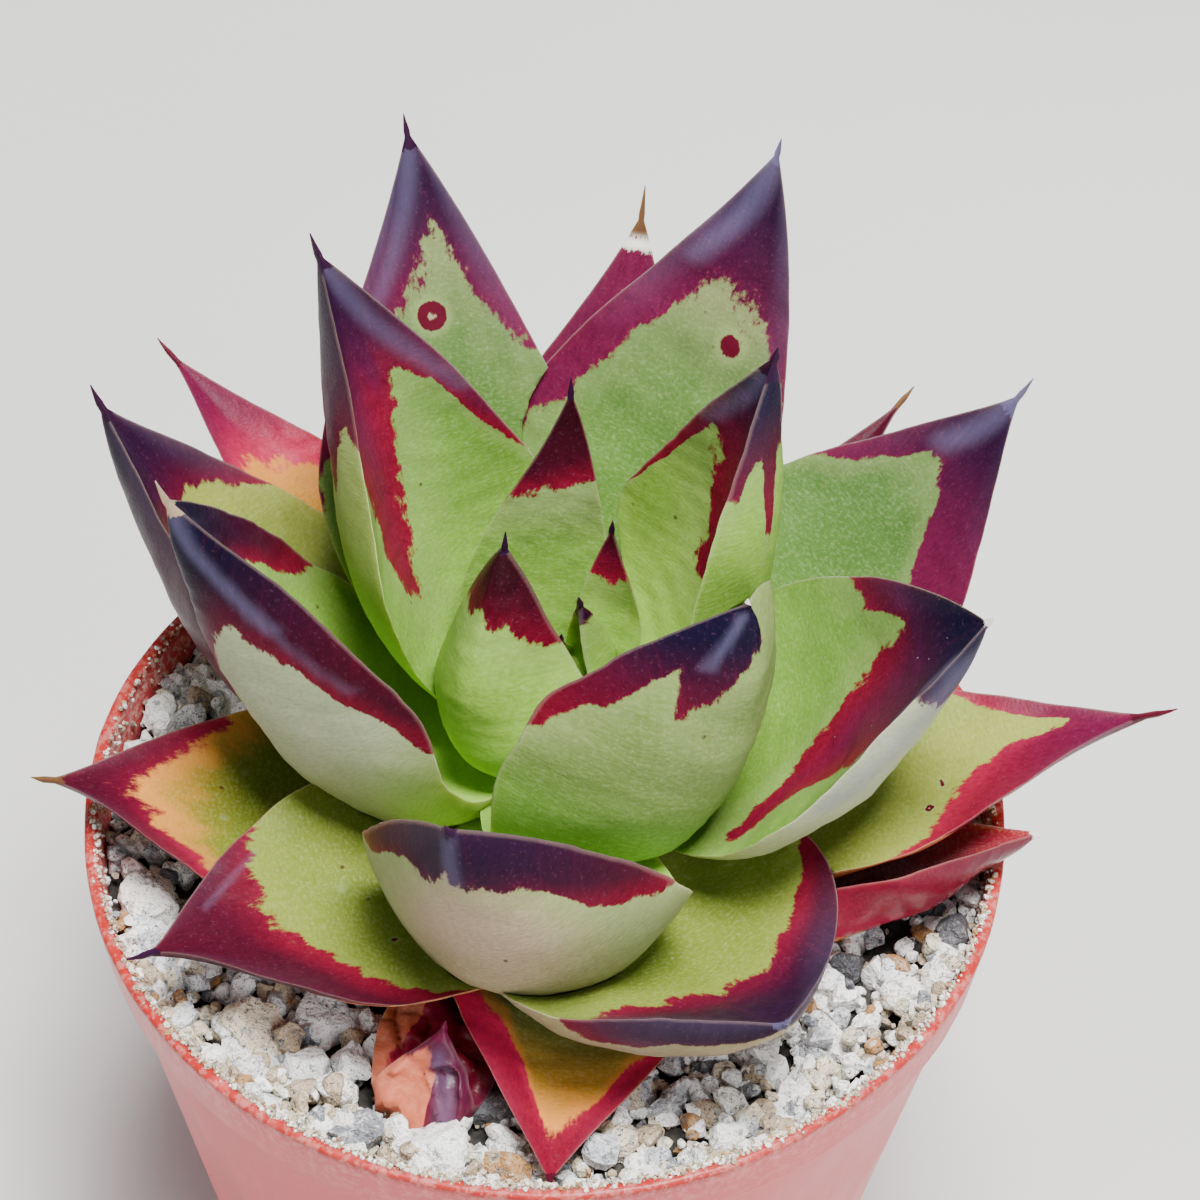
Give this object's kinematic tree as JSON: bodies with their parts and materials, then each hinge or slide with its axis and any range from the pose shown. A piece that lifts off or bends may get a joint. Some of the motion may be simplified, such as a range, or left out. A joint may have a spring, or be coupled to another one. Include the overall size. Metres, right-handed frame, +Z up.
{
  "type": "potted succulent",
  "caption": "Rosette of thick pointed green leaves with crimson and purple margins, standing in white grit in a tapered round plastic nursery pot.",
  "frame": {"origin": "centre of the pot's flat underside, which rests on z = 0", "axes": "+Z up along the pot's axis; the picture looks towards +Y, so -Y is the front"},
  "size_m": [0.1069, 0.0978, 0.1271],
  "materials": {
    "pot_plastic": "satin salmon red plastic",
    "soil": "dark matt potting mix",
    "gravel": "matt white and grey grit",
    "stem": "pale green, smooth",
    "leaf_green": "waxy green with crimson to purple margins",
    "leaf_olive": "waxy olive green with crimson to purple margins",
    "leaf_red": "waxy crimson and coral over yellow green",
    "leaf_withered": "dull, crumpled, crimson and peach"
  },
  "bodies": {
    "root": {"pot": "pot_plastic", "soil": "soil", "gravel": "gravel", "stem": "stem", "leaf_01": "leaf_green", "leaf_02": "leaf_green", "leaf_03": "leaf_green", "leaf_04": "leaf_green", "leaf_05": "leaf_green", "leaf_06": "leaf_green", "leaf_07": "leaf_green", "leaf_08": "leaf_green", "leaf_09": "leaf_green", "leaf_10": "leaf_green", "leaf_11": "leaf_green", "leaf_12": "leaf_olive", "leaf_13": "leaf_green", "leaf_14": "leaf_olive", "leaf_15": "leaf_red", "leaf_16": "leaf_olive", "leaf_17": "leaf_olive", "leaf_18": "leaf_olive", "leaf_19": "leaf_red", "leaf_20": "leaf_red", "leaf_21": "leaf_red", "leaf_22": "leaf_olive", "leaf_23": "leaf_red", "leaf_24": "leaf_red", "leaf_withered": "leaf_withered"}
  },
  "joints": []
}
